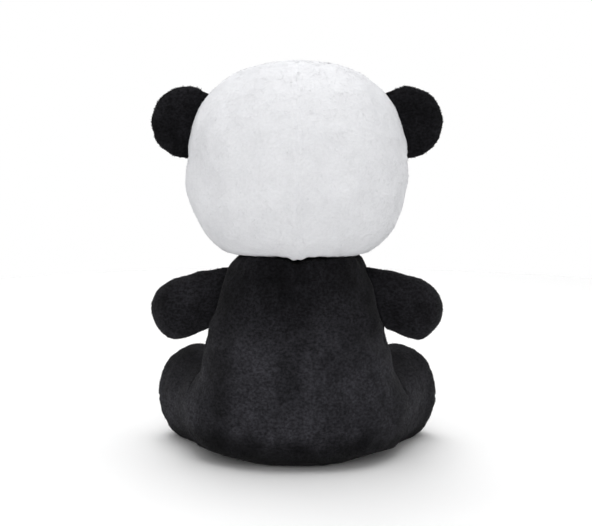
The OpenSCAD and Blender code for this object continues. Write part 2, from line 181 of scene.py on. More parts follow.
HEAD_RX, HEAD_BACK, HEAD_TOP = mm_box("head_back_left")[1]
HEAD_FRONT = mm_box("face_panel")[0][1]
HEAD_Y = (HEAD_BACK + HEAD_FRONT) / 2
HEAD_RY = (HEAD_BACK - HEAD_FRONT) / 2
HEAD_UP, HEAD_LOW = 70.0, 64.0
HEAD_Z = HEAD_TOP - HEAD_UP
NECK_Z = mm_box("body_back_left")[1][2]
BODY_RX, BODY_RY = mm_box("body_back_left")[1][:2]
HIP_GAIN, BELLY_GAIN = 25.0, 10.0       # how much the body widens and deepens from neck to hips
NECK_RX, NECK_RY = BODY_RX - HIP_GAIN, BODY_RY - BELLY_GAIN
SEAT_IN_X, SEAT_IN_Y = 6.0, 25.0        # how far the flat seat stays inside the neck's width and hips' depth
SEAT_RX, SEAT_RY = NECK_RX - SEAT_IN_X, BODY_RY - SEAT_IN_Y
HIP_Z = 32.0
NECK_RISE = 3.2         # how far the neck line climbs at the back
NECK_RISE_Y = 34.0      # how far behind the middle it has climbed all of that
FLOOR_GAP = 0.15        # how far the lowest cloth stays above the floor
CHEST_Z = mm_box("chest_panel")[0][2]
LEG_Z, THIGH_R, LEG_LEN, SPLAY = 27.5, 26.0, 62.0, math.radians(36)
FOOT_W, FOOT_H, FOOT_Z, LEG_SAG = 27.5, 31.0, 31.0, 1.2
ARM_LEN, ARM_H, ARM_T, ARM_ROOT = 42.5, 39.5, 29.0, 18.6
ARM_YAW, ARM_DROOP, ARM_SLANT = math.radians(12), math.radians(15.5), 0.7
EAR_R, EAR_OUT, EAR_T, EAR_LEAN = 23.0, 4.8, 13.0, math.radians(19)


def joint_mm(name):
    """Where a joint is."""
    return np.array(JOINTS[name]["pos_m"]) / MM


# ---------- mesh helpers ----------


def new_object(name, verts_mm, faces, smooth=True):
    me = bpy.data.meshes.new(name)
    me.from_pydata([tuple(v) for v in np.asarray(verts_mm) * MM], [], faces)
    me.update()
    if smooth:
        me.shade_smooth()
    ob = bpy.data.objects.new(name, me)
    bpy.context.scene.collection.objects.link(ob)
    return ob


def coords(me):
    co = np.empty(len(me.vertices) * 3, np.float32)
    me.vertices.foreach_get("co", co)
    return co.reshape(-1, 3).astype(float) / MM


def set_coords(me, co):
    me.vertices.foreach_set("co", (np.asarray(co) * MM).astype(np.float32).ravel())
    me.update()


def vertex_normals(me):
    n = np.empty(len(me.vertices) * 3, np.float32)
    me.vertex_normals.foreach_get("vector", n)
    return n.reshape(-1, 3).astype(float)


def loft(rings):
    """Vertices and faces of a closed form from a list of rings; a ring of one point closes an end."""
    rings = [r for i, r in enumerate(rings) if len(r) > 1 or i in (0, len(rings) - 1)]
    verts, faces, starts = [], [], []
    for r in rings:
        starts.append(len(verts))
        verts.extend(r)
    for i in range(len(rings) - 1):
        a, b, na, nb = starts[i], starts[i + 1], len(rings[i]), len(rings[i + 1])
        n = max(na, nb)
        for j in range(n):
            k = (j + 1) % n
            if na == 1:
                faces.append((a, b + k, b + j))
            elif nb == 1:
                faces.append((a + j, a + k, b))
            else:
                faces.append((a + j, a + k, b + k, b + j))
    for i, closed in ((0, len(rings[0]) > 1), (-1, len(rings[-1]) > 1)):
        if closed:
            ring = list(range(starts[i], starts[i] + len(rings[i])))
            faces.append(tuple(reversed(ring)) if i == 0 else tuple(ring))
    return np.array(verts), faces


def bake_modifier(ob):
    """Puts what ob's modifiers make into its mesh, and removes them."""
    dg = bpy.context.evaluated_depsgraph_get()
    me = bpy.data.meshes.new_from_object(ob.evaluated_get(dg), depsgraph=dg)
    old = ob.data
    ob.modifiers.clear()
    me.name = ob.name
    ob.data = me
    bpy.data.meshes.remove(old)
    me.shade_smooth()


def remesh(ob, size):
    m = ob.modifiers.new("cells", "REMESH")
    m.mode, m.voxel_size = "VOXEL", size * MM
    bake_modifier(ob)


def subdivide(ob, levels):
    m = ob.modifiers.new("finer", "SUBSURF")
    m.levels = m.render_levels = levels
    bake_modifier(ob)


def plump(ob, held, cap, pressure=4.0, frames=16):
    """Runs ob as a bag of cloth under pressure; held(co) marks the vertices that a seam holds. The push is
    slight at this size: about 0.1 mm on average on the head and next to nothing on the smaller pieces. The
    padded shape is in the forms themselves."""
    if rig.quick():
        return
    me = ob.data
    rest = coords(me)
    pins = ob.vertex_groups.new(name="held")
    for i in np.nonzero(held(rest))[0]:
        pins.add([int(i)], 1.0, "ADD")
    mod = ob.modifiers.new("filling", "CLOTH")
    s = mod.settings
    s.quality = 5
    s.mass = 0.15
    s.use_pressure = True
    s.uniform_pressure_force = pressure
    s.vertex_group_mass = "held"
    s.tension_stiffness = s.compression_stiffness = 12
    s.shear_stiffness = 5
    s.bending_stiffness = 0.4
    s.effector_weights.gravity = 0
    mod.collision_settings.use_collision = False
    mod.point_cache.frame_start, mod.point_cache.frame_end = 1, frames
    scene = bpy.context.scene
    for f in range(1, frames + 1):
        scene.frame_set(f)
    dg = bpy.context.evaluated_depsgraph_get()
    done = coords(ob.evaluated_get(dg).data)
    ob.modifiers.clear()
    ob.vertex_groups.clear()
    scene.frame_set(1)
    move = done - rest
    far = np.linalg.norm(move, axis=1, keepdims=True)
    move *= np.minimum(1, cap / np.maximum(far, 1e-9))
    set_coords(me, rest + move)
    print("plump", ob.name, len(rest), "mean move mm", round(float(np.linalg.norm(move, axis=1).mean()), 2))


def settle(ob, tree, target):
    """Grows or shrinks ob so that it lies target millimetres off the form in tree on average."""
    co, n = coords(ob.data), vertex_normals(ob.data)
    off = []
    for p, q in zip(co[::7], n[::7]):
        near_p, near_n, _, _ = tree.find_nearest(Vector(p))
        off.append((p - np.array(near_p)) @ np.array(near_n))
    lift = target - float(np.mean(off))
    set_coords(ob.data, co + n * np.where(co[:, 2] < 0.8, 0, lift)[:, None])
    print("settle", ob.name, "mean off", round(float(np.mean(off)), 2))


def pad(ob, cell, slack, held, cap, levels, off):
    """Makes the plain form ob an even skin: cells of one size, drawn in by slack, pressed out as cloth, then
    made finer and laid off millimetres from the form on average. What rests on the floor is not drawn in."""
    fix_normals(ob)
    form = tree_of(ob)
    remesh(ob, cell)
    sculpt(ob, lambda co, n: np.where(co[:, 2] < 1.0, 0.0, -slack))
    plump(ob, held, cap)
    subdivide(ob, levels)
    settle(ob, form, off)


def waves(p, length, seed, count=14):
    """Smooth noise from -1 to 1 over points p, with features about length long."""
    rng = np.random.default_rng(seed)
    out = np.zeros(len(p))
    for _ in range(count):
        k = rng.normal(size=3)
        k *= 2 * math.pi / (length * rng.uniform(0.75, 1.35)) / np.linalg.norm(k)
        out += np.sin(p @ k + rng.uniform(0, 2 * math.pi))
    return out / math.sqrt(count) / 1.4


def sculpt(ob, push):
    """Moves each vertex along its normal by push(co, normals) millimetres."""
    co, n = coords(ob.data), vertex_normals(ob.data)
    set_coords(ob.data, co + n * push(co, n)[:, None])


def near(d, width):
    """1 where d is 0, fading to nothing over about width."""
    return np.exp(-((d / width) ** 2))


def inside_seam(co, mid, side, deep, high):
    """Which points lie inside the oval seam of an ear or an arm at mid, on that side of the toy."""
    d = np.sqrt(((co[:, 1] - mid[1]) / deep) ** 2 + ((co[:, 2] - mid[2]) / high) ** 2)
    return (d < 1) & (np.sign(co[:, 0]) == side)


def rest_on_floor(ob):
    """Keeps ob above the floor, and gives its points."""
    co = coords(ob.data)
    co[:, 2] = np.maximum(co[:, 2], FLOOR_GAP)
    set_coords(ob.data, co)
    return co


def tree_of(ob):
    me = ob.data
    return bvhtree.BVHTree.FromPolygons(
        [tuple(v) for v in coords(me)], [tuple(p.vertices) for p in me.polygons]
    )


# ---------- materials ----------


def node_material(name):
    mat = bpy.data.materials.new(name)
    mat.use_nodes = True
    nt = mat.node_tree
    return mat, nt, nt.nodes["Principled BSDF"]


def noise_node(nt, coord, scale, detail, rough, stretch=(1, 1, 1)):
    m = nt.nodes.new("ShaderNodeMapping")
    m.inputs["Scale"].default_value = stretch
    t = nt.nodes.new("ShaderNodeTexNoise")
    t.inputs["Scale"].default_value = scale
    t.inputs["Detail"].default_value = detail
    t.inputs["Roughness"].default_value = rough
    nt.links.new(coord, m.inputs["Vector"])
    nt.links.new(m.outputs["Vector"], t.inputs["Vector"])
    return t.outputs["Fac"]


def ramp(nt, fac, stops):
    r = nt.nodes.new("ShaderNodeValToRGB")
    e = r.color_ramp.elements
    while len(e) < len(stops):
        e.new(0.5)
    for k, (pos, col) in enumerate(stops):
        e[k].position = pos
        e[k].color = (*col, 1)
    nt.links.new(fac, r.inputs["Fac"])
    return r.outputs["Color"]


def multiply(nt, a, b):
    m = nt.nodes.new("ShaderNodeMix")
    m.data_type, m.blend_type = "RGBA", "MULTIPLY"
    m.inputs["Factor"].default_value = 1.0
    nt.links.new(a, m.inputs["A"])
    nt.links.new(b, m.inputs["B"])
    return m.outputs["Result"]


def map_range(nt, value, low, high, from_low=0.0, from_high=1.0):
    m = nt.nodes.new("ShaderNodeMapRange")
    m.inputs["From Min"].default_value, m.inputs["From Max"].default_value = from_low, from_high
    m.inputs["To Min"].default_value, m.inputs["To Max"].default_value = low, high
    nt.links.new(value, m.inputs["Value"])
    return m.outputs["Result"]


PAINTED_SHADE_FROM, PAINTED_SHADE_SPAN = 15, 260     # level, in millimetres, where the painted shade's table starts, and what it covers


def plush(name, low, mid, high, fleck, painted_shade):
    """Short pile: colour drifts over the cloth, with fine flecks where the pile parts.
    The last argument gives, for levels in millimetres, a factor on the colour there: painted shade and light by
    height, in place of how light falls."""
    mat, nt, p = node_material(name)
    coord = nt.nodes.new("ShaderNodeTexCoord").outputs["Object"]
    drift = noise_node(nt, coord, 30, 5.0, 0.66, (1, 1, 0.75))
    broad = ramp(nt, drift, [(0.36, low), (0.5, mid), (0.66, high)])
    parts = noise_node(nt, coord, 520, 3.0, 0.65, (1, 1, 1.3))
    dark, light = fleck
    flecks = ramp(nt, parts, [(0.36, (dark, dark, dark)), (0.64, (light, light, light))])
    cloth = multiply(nt, broad, flecks)
    # Painted shade and light by height: the level (Z, jittered a little by the drift) picks a darkening factor from
    # the table, standing in for shade that light would give.
    axes = nt.nodes.new("ShaderNodeSeparateXYZ")
    nt.links.new(coord, axes.inputs["Vector"])
    stray = nt.nodes.new("ShaderNodeMath")
    stray.operation = "MULTIPLY_ADD"
    nt.links.new(drift, stray.inputs[0])
    stray.inputs[1].default_value = 0.03
    nt.links.new(axes.outputs["Z"], stray.inputs[2])
    level = map_range(nt, stray.outputs["Value"], 0.0, 1.0, PAINTED_SHADE_FROM * MM, (PAINTED_SHADE_FROM + PAINTED_SHADE_SPAN) * MM)
    shade = ramp(nt, level, [(z / PAINTED_SHADE_SPAN, (k, k, k)) for z, k in painted_shade])
    nt.links.new(multiply(nt, cloth, shade), p.inputs["Base Color"])
    nt.links.new(map_range(nt, drift, 0.9, 1.0), p.inputs["Roughness"])
    p.inputs["Sheen Weight"].default_value = 0.04
    p.inputs["Sheen Roughness"].default_value = 0.5
    p.inputs["Specular IOR Level"].default_value = 0.06
    bump = nt.nodes.new("ShaderNodeBump")
    bump.inputs["Strength"].default_value = 0.35
    bump.inputs["Distance"].default_value = 0.0005
    nt.links.new(parts, bump.inputs["Height"])
    nt.links.new(bump.outputs["Normal"], p.inputs["Normal"])
    return mat


# Painted shade by height on the white: levels in millimetres and a factor on the colour, a little darker low down and
# at the top of the head.
WHITE_PAINTED_SHADE = [(0, 0.93), (130, 0.93), (175, 0.99), (215, 0.98), (240, 0.93)]
# Levels in millimetres and the painted shade on the black there: a factor on the colour, darker at the bottom, under
# the head and on the ears and eye patches, standing in for shade.
BLACK_PAINTED_SHADE = [(0, 0.3), (17, 0.38), (28, 1.0), (75, 1.0), (100, 0.57), (124, 0.38), (180, 0.38), (240, 0.4)]
# Painted shade by height on the legs: darker at the bottom and on the leg tops, where the arms' shade falls, and a
# touch lighter in between.
LEG_PAINTED_SHADE = [(0, 0.5), (12, 0.6), (28, 1.05), (42, 0.95), (56, 0.5), (100, 0.5)]
PALE = ((0.725, 0.73, 0.75), (0.765, 0.77, 0.79), (0.80, 0.805, 0.825), (0.97, 1.02))
DEEP = ((0.0105, 0.0104, 0.012), (0.0205, 0.0201, 0.0236), (0.0345, 0.0338, 0.0395), (0.5, 1.42))
# The plush materials carry painted shade by height from these tables; the legs get their own copy of the black with
# its own painted shade.
WHITE = plush("white_plush", *PALE, WHITE_PAINTED_SHADE)
BLACK = plush("black_plush", *DEEP, BLACK_PAINTED_SHADE)
LEG_BLACK_SHADED = plush("black_leg_plush", *DEEP, LEG_PAINTED_SHADE)


def thread_material():
    mat, nt, p = node_material("satin_thread")
    coord = nt.nodes.new("ShaderNodeTexCoord").outputs["Object"]
    ply = noise_node(nt, coord, 900, 2.0, 0.5, (1, 1, 0.2))
    shades = ramp(nt, ply, [(0.3, (0.006, 0.006, 0.007)), (0.7, (0.02, 0.02, 0.022))])
    nt.links.new(shades, p.inputs["Base Color"])
    nt.links.new(map_range(nt, ply, 0.32, 0.5), p.inputs["Roughness"])
    p.inputs["Sheen Weight"].default_value = 0.05
    p.inputs["Specular IOR Level"].default_value = 0.25
    return mat


def plastic_material(name, low, high, rough_low, rough_high):
    mat, nt, p = node_material(name)
    coord = nt.nodes.new("ShaderNodeTexCoord").outputs["Object"]
    n = noise_node(nt, coord, 180, 4.0, 0.6)
    nt.links.new(ramp(nt, n, [(0.3, low), (0.7, high)]), p.inputs["Base Color"])
    nt.links.new(map_range(nt, n, rough_low, rough_high), p.inputs["Roughness"])
    p.inputs["Specular IOR Level"].default_value = 0.35
    return mat


THREAD = thread_material()
EYE = plastic_material("eye_plastic", (0.004, 0.003, 0.003), (0.012, 0.008, 0.006), 0.06, 0.16)
WASHER = plastic_material("washer_plastic", (0.74, 0.74, 0.71), (0.82, 0.82, 0.80), 0.4, 0.6)


def paint(ob, *mats):
    ob.data.materials.clear()
    for m in mats:
        ob.data.materials.append(m)


# ---------- pile ----------


STRAY = 0.5                         # how far single tufts point away from the comb
SWIRL, SWIRL_LENGTH = 0.5, 16       # how far whole patches do, and how long the patches are
LOOSE_RISE, LOOSE_WIDTH = 0.6, 0.4  # loose tufts stand up more and are narrower
TUFT_FLAT, TUFT_SINK = 0.14, 0.2    # thickness as a share of width, and how deep the root sits


def pile(name, skin, mat, per_mm2, length, width, lift, seed,
         comb=(0, 0, -1), keep=None, loose_share=0.03):
    """Tufts of pile over a skin: closed three-sided spikes that lean along comb, each its own small form."""
    me = skin.data
    me.calc_loop_triangles()
    tri = np.empty(len(me.loop_triangles) * 3, np.int32)
    me.loop_triangles.foreach_get("vertices", tri)
    tri = tri.reshape(-1, 3)
    co, vn = coords(me), vertex_normals(me)
    a, b, c = co[tri[:, 0]], co[tri[:, 1]], co[tri[:, 2]]
    area = np.linalg.norm(np.cross(b - a, c - a), axis=1) / 2
    if keep is not None:
        area = area * keep((a + b + c) / 3)
    rng = np.random.default_rng(seed)
    n = int(area.sum() * per_mm2)
    pick = np.searchsorted(np.cumsum(area) / area.sum(), rng.random(n))
    u, v = rng.random(n), rng.random(n)
    flip = u + v > 1
    u[flip], v[flip] = 1 - u[flip], 1 - v[flip]
    w = 1 - u - v
    t = tri[pick]
    root = co[t[:, 0]] * w[:, None] + co[t[:, 1]] * u[:, None] + co[t[:, 2]] * v[:, None]
    nor = vn[t[:, 0]] * w[:, None] + vn[t[:, 1]] * u[:, None] + vn[t[:, 2]] * v[:, None]
    nor /= np.linalg.norm(nor, axis=1, keepdims=True)
    lay = comb(root) if callable(comb) else np.tile(np.array(comb, float), (n, 1))
    lay = lay + np.stack([waves(root, SWIRL_LENGTH, seed + k) for k in range(3)], 1) * SWIRL
    lay = lay + rng.normal(size=(n, 3)) * STRAY
    lay -= nor * (lay * nor).sum(1, keepdims=True)
    lay /= np.maximum(np.linalg.norm(lay, axis=1, keepdims=True), 1e-6)
    rise = lift * rng.uniform(0.6, 1.5, n)[:, None]
    loose = rng.random(n)[:, None] < loose_share
    rise = np.where(loose, LOOSE_RISE, rise)
    way = lay + nor * rise
    way /= np.linalg.norm(way, axis=1, keepdims=True)
    side = np.cross(way, nor)
    side /= np.maximum(np.linalg.norm(side, axis=1, keepdims=True), 1e-6)
    up = np.cross(side, way)
    size = (length * rng.uniform(0.55, 1.2, n))[:, None]
    half = (width / 2 * rng.uniform(0.7, 1.3, n))[:, None] * np.where(loose, LOOSE_WIDTH, 1)
    verts = np.empty((n, 4, 3))
    base = root - nor * TUFT_SINK
    for k, ang in enumerate((math.pi / 2, math.pi * 7 / 6, math.pi * 11 / 6)):
        verts[:, k] = base + half * (math.cos(ang) * side + TUFT_FLAT * math.sin(ang) * up)
    verts[:, 3] = root + way * size
    faces = np.array([[0, 1, 3], [1, 2, 3], [2, 0, 3], [2, 1, 0]])
    index = (np.arange(n) * 4)[:, None, None] + faces[None]
    me2 = bpy.data.meshes.new(name)
    me2.vertices.add(n * 4)
    me2.vertices.foreach_set("co", (verts * MM).astype(np.float32).ravel())
    me2.loops.add(n * 12)
    me2.loops.foreach_set("vertex_index", index.astype(np.int32).ravel())
    me2.polygons.add(n * 4)
    me2.polygons.foreach_set("loop_start", np.arange(n * 4, dtype=np.int32) * 3)
    me2.update(calc_edges=True)
    me2.shade_flat()
    # Each tuft has its own small square of the map, so that a colour baked into it stays the tuft's own.
    cells = int(math.ceil(math.sqrt(n)))
    corner = np.array([[0.2, 0.2], [0.8, 0.2], [0.5, 0.5], [0.5, 0.8]])
    at = np.stack([np.arange(n) % cells, np.arange(n) // cells], 1)[:, None, :]
    uv = ((at + corner[None]) / cells)[:, faces.ravel() % 4]
    layer = me2.uv_layers.new(name="OFBake")
    layer.data.foreach_set("uv", uv.astype(np.float32).ravel())
    ob = bpy.data.objects.new(name, me2)
    bpy.context.scene.collection.objects.link(ob)
    paint(ob, mat)
    print("pile", name, n, "tufts")
    return ob


# ---------- head ----------


def head_share(h):
    up = np.maximum(0, 1 - np.minimum(np.maximum(h, 0) / HEAD_UP, 1) ** 2.4) ** (1 / 2.4)
    low = np.sqrt(np.maximum(0, 1 - np.minimum(np.maximum(-h, 0) / HEAD_LOW, 1) ** 2))
    return np.where(h >= 0, up, low)


def even(points, step):
    """A path resampled at an even step."""
    p = np.array(points, float)
    d = np.concatenate([[0], np.cumsum(np.linalg.norm(np.diff(p, axis=0), axis=1))])
    n = max(4, int(round(d[-1] / step)))
    s = np.linspace(0, d[-1], n + 1)
    return np.stack([np.interp(s, d, p[:, k]) for k in range(p.shape[1])], 1)


def head_form():
    rise = NECK_Z + 0.6 - HEAD_Z
    hs = np.linspace(rise, HEAD_UP, 400)
    k = head_share(hs)
    side = [(kk * HEAD_RX, h) for kk, h in zip(k, hs)]
    under = [(x, rise + 4 * (1 - (x / side[0][0]) ** 2)) for x in np.linspace(0, side[0][0], 20)[:-1]]
    path = even(under + side, 3.0)
    rings = []
    for x, h in path:
        k = x / HEAD_RX
        if x < 0.8:
            rings.append([(0, HEAD_Y, HEAD_Z + h)])
            continue
        a = np.linspace(0, 2 * math.pi, 97)[:-1]
        rings.append([(HEAD_RX * k * math.cos(t), HEAD_Y + HEAD_RY * k * math.sin(t), HEAD_Z + h) for t in a])
    return loft(rings)


def ear_mid(side):
    return joint_mm(f"ear_{SIDE[side]}_fold")


def raise_neck(ob, share):
    """Lifts the neck line at the back of ob, with a small dip at the centre seam; share(z) fades it out."""
    co = coords(ob.data)
    back = np.clip(co[:, 1] / NECK_RISE_Y, 0, 1)
    co[:, 2] += NECK_RISE * back * (1 - 0.75 * near(co[:, 0], 5)) * share(co[:, 2])
    set_coords(ob.data, co)


def build_head():
    v, f = head_form()
    ob = new_object("head_cover", v, f)

    def held(co):
        pinned = co[:, 2] < NECK_Z + 3
        for side in (LEFT, RIGHT):
            pinned |= inside_seam(co, ear_mid(side), side, 4, 21)
        return pinned

    pad(ob, cell=4.0, slack=1.6, held=held, cap=2.2, levels=2, off=-0.4)

    def push(co, n):
        d = waves(co, 34, 11) * 0.7 + waves(co, 13, 12) * 0.16
        back = co[:, 1] > HEAD_Y
        d -= 0.55 * near(co[:, 0], 1.6) * back * (1 + 0.5 * waves(co, 7, 13))
        seam = near(co[:, 1] - HEAD_Y, 1.8)
        d -= 0.5 * seam * (1 + 0.5 * waves(co, 7, 14))
        for side in (LEFT, RIGHT):
            m = ear_mid(side)
            low = m + np.array([side * 5.0, 4.0, -20.0])
            r = np.linalg.norm(co - low, axis=1)
            ang = np.arctan2(co[:, 2] - low[2], (co[:, 1] - low[1]))
            d -= 1.1 * near(r, 5.5)
            d += 0.35 * np.sin(ang * 9 + 1.3) * near(r - 9, 6)
        gather = near(co[:, 2] - NECK_Z, 9)
        # A full round just above the neck.
        d += 1.2 * near(co[:, 2] - NECK_Z - 12, 10)
        around = np.arctan2(co[:, 1] - HEAD_Y, co[:, 0])
        d += gather * 0.2 * np.sin(around * 31 + 2 * waves(co, 30, 15))
        return d

    sculpt(ob, push)
    raise_neck(ob, lambda z: np.clip((NECK_Z + 18 - z) / 16, 0, 1))
    paint(ob, WHITE)
    return ob


# ---------- body ----------


def body_half(z):
    z = np.clip(z, 0, NECK_Z)
    up = np.cos(np.pi / 2 * np.clip((z - HIP_Z) / (NECK_Z - HIP_Z), 0, 1))
    low = np.sqrt(np.clip(1 - (np.clip(HIP_Z - z, 0, None) / HIP_Z) ** 2, 0, 1))
    wide = np.where(z >= HIP_Z, NECK_RX + (BODY_RX - NECK_RX) * up, SEAT_RX + (BODY_RX - SEAT_RX) * low)
    deep = np.where(z >= HIP_Z, NECK_RY + (BODY_RY - NECK_RY) * up, SEAT_RY + (BODY_RY - SEAT_RY) * low)
    return wide, deep


BODY_N = 2.15   # the body's outline seen from above: 2 is an ellipse, more is squarer
FLOW = 32.0     # how wide a fold of cloth carries the body's flank over into the thigh


def off_body(p):
    """Roughly how far points are outside the body."""
    w, d = body_half(p[:, 2])
    g = ((np.abs(p[:, 0]) / w) ** BODY_N + (np.abs(p[:, 1]) / d) ** BODY_N) ** (1 / BODY_N)
    return (g - 1) * np.sqrt(w * d)


def off_leg(p, side):
    """Roughly how far points are outside a leg."""
    hip, out, across = leg_frame(side)
    rel = p - hip * [1, 1, 0]
    s, t = rel @ out, rel @ across
    w, h, z = leg_station(s)
    h = np.where(p[:, 2] < z, h * LEG_SAG, h)
    g = np.sqrt((t / w) ** 2 + ((p[:, 2] - z) / h) ** 2)
    ball = np.sqrt(s * s + t * t + (p[:, 2] - LEG_Z) ** 2) - THIGH_R
    return np.where(s < 0, ball, (g - 1) * np.minimum(w, h))


def carried(d, z):
    """How far the cloth stands out where the flank runs over into the thigh; only low on the body."""
    low_only = np.clip((z - 3) / 8, 0, 1), np.clip((54 - z) / 16, 0, 1)
    return FLOW / 4 * np.clip(1 - np.abs(d) / FLOW, 0, 1) ** 2 * low_only[0] * low_only[1]


def leg_station(s):
    """Half-width, half-height and level of the middle at s along a leg."""
    f = np.clip(s / LEG_LEN, 0, 1)
    foot = 1 - (1 - f) ** 2
    wide, high = THIGH_R + (FOOT_W - THIGH_R) * foot, THIGH_R + (FOOT_H - THIGH_R) * foot
    return wide, high, LEG_Z + (FOOT_Z - LEG_Z) * foot


def body_form():
    zs = list(np.linspace(0, NECK_Z, 300))
    side = [(float(body_half(z)[0]), float(body_half(z)[1]), z) for z in zs]
    w0, d0 = body_half(0)
    seat = [(w0 * s, d0 * s, 0) for s in np.linspace(0, 1, 15)[:-1]]
    w1, d1 = body_half(NECK_Z)
    top = [(w1 * s, d1 * s, NECK_Z - 3 * (1 - s)) for s in np.linspace(1, 0, 15)[1:]]
    path = even(seat + side + top, 3.0)
    rings = []
    for w, d, z in path:
        if w < 0.8:
            rings.append([(0, 0, z)])
            continue
        a = np.linspace(0, 2 * math.pi, 97)[:-1]
        c, s = np.cos(a), np.sin(a)
        x = w * np.sign(c) * np.abs(c) ** (2 / BODY_N)
        y = d * np.sign(s) * np.abs(s) ** (2 / BODY_N)
        rings.append([(float(i), float(j), z) for i, j in zip(x, y)])
    return loft(rings)


def arm_mid(side):
    return joint_mm(f"arm_{SIDE[side]}_swing")


def build_body():
    v, f = body_form()
    ob = new_object("body_cover", v, f)

    def held(co):
        pinned = (co[:, 2] > NECK_Z - 4) | (co[:, 2] < 1.5)
        for side in (LEFT, RIGHT):
            pinned |= inside_seam(co, arm_mid(side), side, 6, 20)
        return pinned

    pad(ob, cell=4.0, slack=1.6, held=held, cap=2.6, levels=2, off=-0.4)

    def push(co, n):
        x, y, z = co.T
        up = np.clip(z / 12, 0, 1)
        d = (waves(co, 30, 21) * 0.9 + waves(co, 12, 22) * 0.3) * up
        back = y > 0
        d -= 0.7 * near(x, 1.8) * back * up * (1 + 0.5 * waves(co, 7, 23))
        around = np.arctan2(y, x)
        # Broad shoulders, and sides that run down almost straight below them.
        d += np.cos(around) ** 2 * (2.2 * near(z - 112, 15) - 1.4 * near(z - 66, 14))
        gather = near(z - NECK_Z, 10)
        d += gather * 0.25 * np.sin(around * 29 + 2 * waves(co, 30, 24))
        # Soft upright folds low on the back, where the weight settles.
        low = np.clip((78 - z) / 40, 0, 1) * np.clip((z - 14) / 14, 0, 1) * back
        d += low * 1.9 * np.sin(x / 4.6 + 1.6 * waves(co, 45, 25)) * near(x, 24)
        # Slanting wrinkles that run down and in from the armpits.
        for side in (LEFT, RIGHT):
            m = arm_mid(side)
            s = side * x
            r = np.sqrt((s - 50) ** 2 + (z - 84) ** 2)
            run = (s - 50) * 0.55 + (z - 84) * 0.84
            d += 1.6 * np.sin(run / 2.6) * near(r, 17) * (np.abs(y) > 6)
            arm = np.sqrt(((y - m[1]) / 9) ** 2 + ((z - m[2]) / 22) ** 2)
            d -= 1.2 * near(arm - 1, 0.35) * (s > 20)
        d -= 0.8 * near(z - CHEST_Z, 1.6) * (y < -10)
        for side in (LEFT, RIGHT):
            d += carried(off_leg(co, side), z)
        return np.where(z < 0.6, 0, d)

    sculpt(ob, push)
    raise_neck(ob, lambda z: np.clip((z - NECK_Z + 24) / 22, 0, 1))
    co = rest_on_floor(ob)
    paint(ob, BLACK, WHITE)
    mark = np.zeros(len(ob.data.polygons), np.int32)
    centre = np.array([sum((co[i] for i in p.vertices)) / len(p.vertices) for p in ob.data.polygons])
    mark[in_belly(centre)] = 1
    ob.data.polygons.foreach_set("material_index", mark)
    return ob


def in_belly(p):
    ang = np.degrees(np.arctan2(p[:, 1] / BODY_RY, p[:, 0] / BODY_RX)) % 360
    return (ang > 197) & (ang < 343) & (p[:, 2] < CHEST_Z) & (p[:, 2] > 1.2)


# ---------- legs ----------


def leg_frame(side):
    hip = joint_mm(f"leg_{SIDE[side]}_swing")
    out = np.array([math.sin(SPLAY) * side, -math.cos(SPLAY), 0.0])
    across = np.array([math.cos(SPLAY) * side, math.sin(SPLAY), 0.0])
    return hip, out, across


def leg_form(side):
    hip, out, across = leg_frame(side)
    path = []
    for s in np.linspace(-THIGH_R, 0, 60):
        r = math.sqrt(max(0, THIGH_R**2 - s * s))
        path.append((s, r, r, LEG_Z))
    for s in np.linspace(0, LEG_LEN + 2, 160)[1:]:
        w, h, z = leg_station(s)
        e = 1.0
        if s > LEG_LEN - 14:
            e = math.sqrt(max(0, 1 - ((s - LEG_LEN + 14) / 22) ** 2))
        path.append((s, float(w) * e, float(h) * e, float(z)))
    s, w, h, z = path[-1]
    for k in np.linspace(1, 0, 16)[1:]:
        path.append((s + 1.6 * (1 - k * k), w * k, h * k, z))
    path = even(path, 3.0)
    rings = []
    for s, w, h, z in path:
        mid = hip * [1, 1, 0] + out * s + np.array([0, 0, z])
        if w < 0.8:
            rings.append([tuple(mid)])
            continue
        ring = []
        for t in np.linspace(0, 2 * math.pi, 57)[:-1]:
            deep = h * (LEG_SAG if math.sin(t) < 0 else 1)
            p = mid + across * (w * math.cos(t) * side) + np.array([0, 0, deep * math.sin(t)])
            p[2] = max(p[2], 0.0)
            ring.append(tuple(p))
        rings.append(ring)
    v, f = loft(rings)
    return v, [tuple(reversed(q)) for q in f]


def build_leg(side):
    v, f = leg_form(side)
    ob = new_object(f"leg_cover_{SIDE[side]}", v, f)
    hip, out, across = leg_frame(side)
    rim = LEG_LEN - 3.0

    def held(co):
        s = (co - hip) @ out
        return (s < 6) | (np.abs(s - rim) < 2.2) | (co[:, 2] < 1.2)

    pad(ob, cell=3.6, slack=1.3, held=held, cap=2.2, levels=2, off=-0.4)

    def push(co, n):
        s, t, z = (co - hip) @ out, (co - hip) @ across, co[:, 2]
        d = waves(co, 24, 31 + side) * 0.6 + waves(co, 10, 33 + side) * 0.2
        d -= 1.0 * near(s - rim, 1.5) * (1 + 0.4 * waves(co, 6, 35))
        around = np.arctan2(z - 29, t)
        d += 0.12 * np.sin(around * 26) * near(s - rim + 6, 5)
        edge = near(z - 28, 1.4) * (s < rim) * (s > 14)
        d -= 0.45 * edge
        d += carried(off_body(co), z)
        return d * np.clip(z / 8, 0, 1)

    sculpt(ob, push)
    rest_on_floor(ob)
    paint(ob, LEG_BLACK_SHADED)
    return ob


# ---------- arms and ears ----------


def swell(v):
    """Rises smoothly from 0 to 1 as v does."""
    return 0.5 - 0.5 * math.cos(math.pi * min(max(v, 0), 1))


def turned(v, axis, angle):
    """v turned about the Y or the Z axis."""
    c, s = math.cos(angle), math.sin(angle)
    x, y, z = v
    if axis == "Y":
        return np.array([c * x + s * z, y, -s * x + c * z])
    return np.array([c * x - s * y, s * x + c * y, z])


